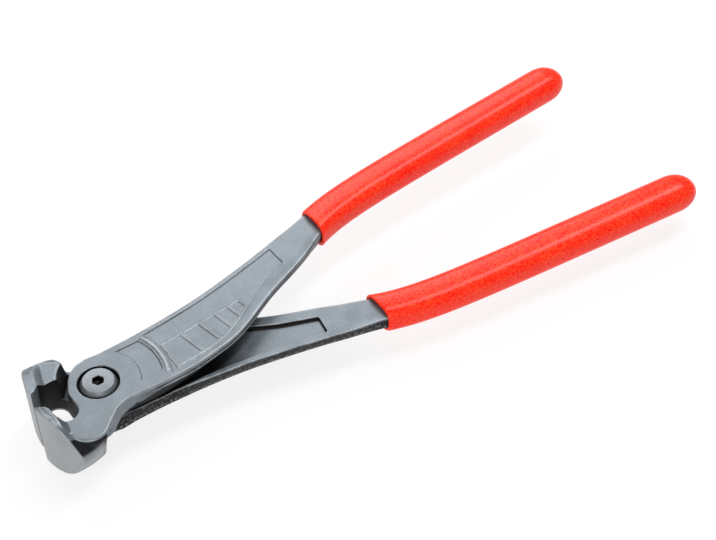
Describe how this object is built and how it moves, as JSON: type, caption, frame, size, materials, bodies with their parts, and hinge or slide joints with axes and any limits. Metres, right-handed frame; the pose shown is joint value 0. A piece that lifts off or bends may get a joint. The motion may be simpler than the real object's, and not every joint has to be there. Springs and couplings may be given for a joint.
{
  "type": "rebar tying pliers",
  "caption": "End-cutting nippers for tying rebar wire: forged steel levers crossing at a bolted pivot, round-nosed jaws with an open throat, long slim handles with red dipped grips.",
  "frame": {"origin": "on the pivot's axis, in the plane where the two levers lap", "axes": "+X towards the handles, +Y towards the upper lever's handle, +Z along the pivot out of the bolt's head"},
  "size_m": [0.2501, 0.086, 0.0322],
  "materials": {
    "forged_steel": "blasted grey steel with ground front faces",
    "bolt_steel": "satin grey steel",
    "red_vinyl": "dipped red vinyl with a fine grain"
  },
  "bodies": {
    "lower_half": {"lower_lever": "forged_steel", "lower_grip": "red_vinyl", "pivot_bolt": "bolt_steel", "pivot_nut": "bolt_steel"},
    "upper_half": {"upper_lever": "forged_steel", "upper_grip": "red_vinyl"}
  },
  "joints": [
    {"name": "pivot", "type": "hinge", "parent": "lower_half", "child": "upper_half", "pos_m": [0, 0, 0], "axis": [0, 0, 1], "range_deg": [-1, 35]}
  ]
}
